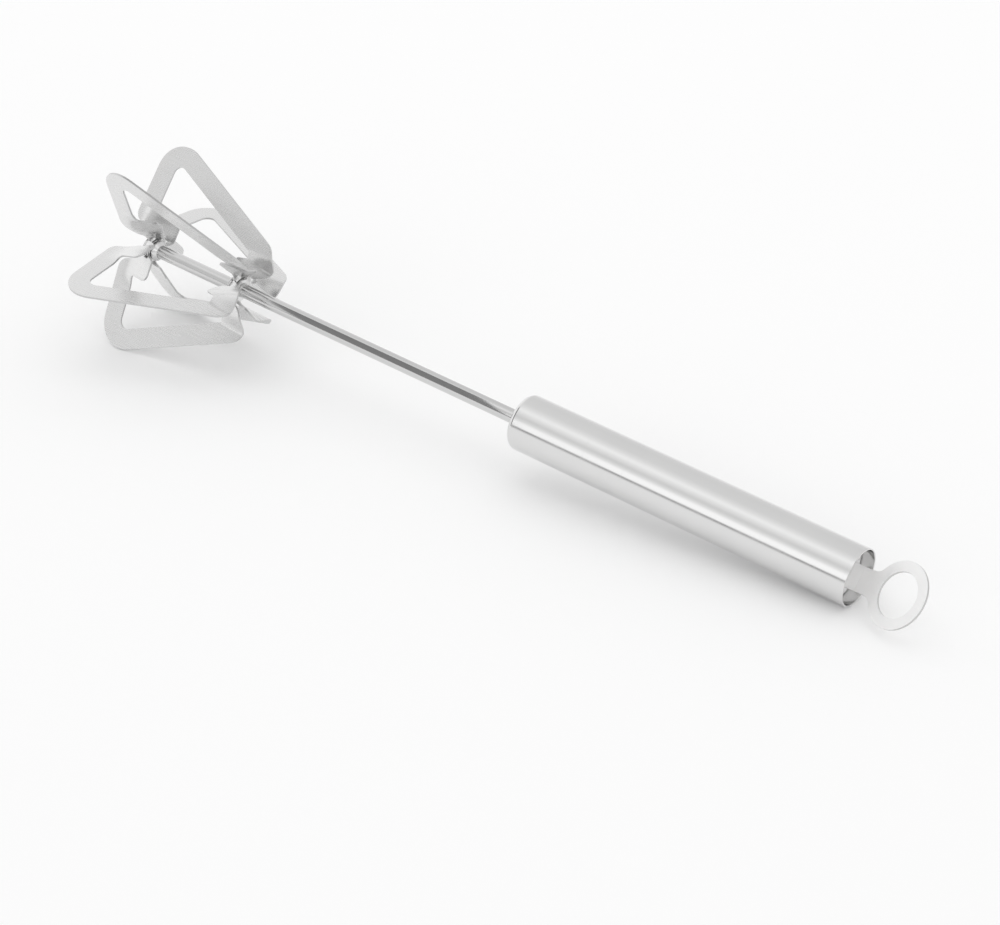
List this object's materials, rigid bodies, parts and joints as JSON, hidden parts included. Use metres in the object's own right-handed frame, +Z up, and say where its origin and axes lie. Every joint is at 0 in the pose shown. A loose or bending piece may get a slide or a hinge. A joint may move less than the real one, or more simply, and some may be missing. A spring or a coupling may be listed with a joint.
{
  "type": "push-down rotary whisk",
  "caption": "Hand-driven steel egg beater: pressing the tube handle down a thin hollow shaft spins a head of open triangular blades.",
  "frame": {"origin": "on the table under the middle of the whole tool, as it lies on two of its blades and on the rear rim of its handle", "axes": "+X from the blade head towards the handle's hanging ring, +Z up from the table"},
  "size_m": [0.3764, 0.087, 0.0756],
  "materials": {
    "sheet_steel": "satin stamped sheet",
    "brushed_steel": "brushed tube",
    "bright_steel": "polished",
    "spring_steel": "drawn wire",
    "white_plastic": "moulded",
    "grey_plastic": "moulded",
    "black_rubber": "matt"
  },
  "bodies": {
    "handle": {"handle_tube": "brushed_steel", "nose_bush": "white_plastic", "stop_washer": "black_rubber", "return_spring": "spring_steel", "rear_spring_washer": "bright_steel", "drive_strip": "bright_steel", "end_plug": "grey_plastic", "anchor_pin": "bright_steel", "hanger_plate": "sheet_steel"},
    "spring_seat": {"thrust_washer": "bright_steel", "spring_cup": "white_plastic"},
    "shaft": {"shaft_tube": "bright_steel", "drive_nut": "white_plastic", "tip_rivet": "bright_steel", "tip_washer": "bright_steel", "tip_hub_collar": "bright_steel", "rear_hub_collar": "bright_steel", "double_blade_1": "sheet_steel", "double_blade_2": "sheet_steel", "double_blade_3": "sheet_steel"}
  },
  "joints": [
    {"name": "push", "type": "slide", "parent": "handle", "child": "spring_seat", "axis": [0.9968, 0, -0.0804], "range_m": [0, 0.05], "stiffness_N_per_m": 120, "springref_m": -0.06, "deforming": ["return_spring"]},
    {"name": "spin", "type": "hinge", "parent": "spring_seat", "child": "shaft", "pos_m": [-0.17306, 0, 0.03778], "axis": [0.9968, 0, -0.0804], "range_deg": [0, 720]}
  ],
  "couplings": [
    {"joint": "spin", "follows": "push", "rad_per_m": 251.33}
  ]
}
